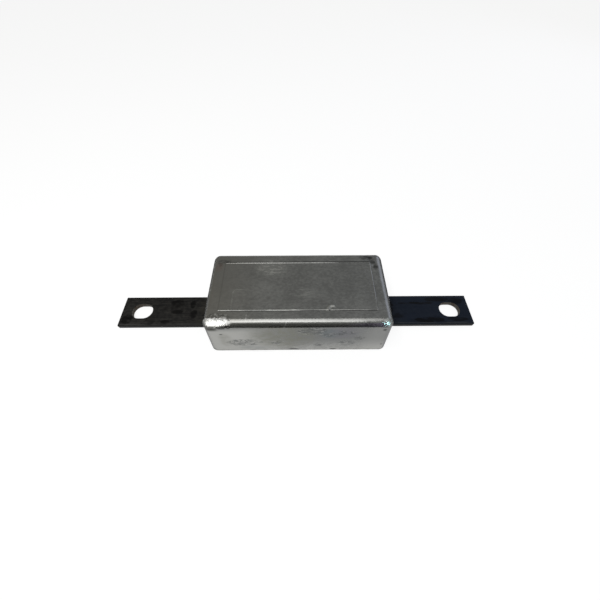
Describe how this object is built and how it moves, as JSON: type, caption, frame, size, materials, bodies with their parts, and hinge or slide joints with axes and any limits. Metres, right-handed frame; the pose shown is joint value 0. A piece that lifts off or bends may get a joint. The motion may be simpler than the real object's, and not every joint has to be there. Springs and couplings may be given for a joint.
{
  "type": "sacrificial anode",
  "caption": "Drafted zinc hull anode block cast around a flat black steel strap, with a slotted bolt hole near each bare strap end.",
  "frame": {"origin": "centre of the back face of the strap, level with the block's back face, half way between the two slots; z = 0 is the hull surface", "axes": "+X along the strap, towards the end that the block stands nearer to; +Z out of the hull, from the back face to the block's outer face; +Y across the block"},
  "size_m": [0.425, 0.0998, 0.0584],
  "materials": {
    "cast_zinc": "as-cast zinc skin, dull lustre with smears, stains and small pits",
    "scaled_steel": "black mill scale, slightly greasy"
  },
  "bodies": {
    "root": {"anode_block": "cast_zinc", "mounting_strap": "scaled_steel"}
  },
  "joints": []
}
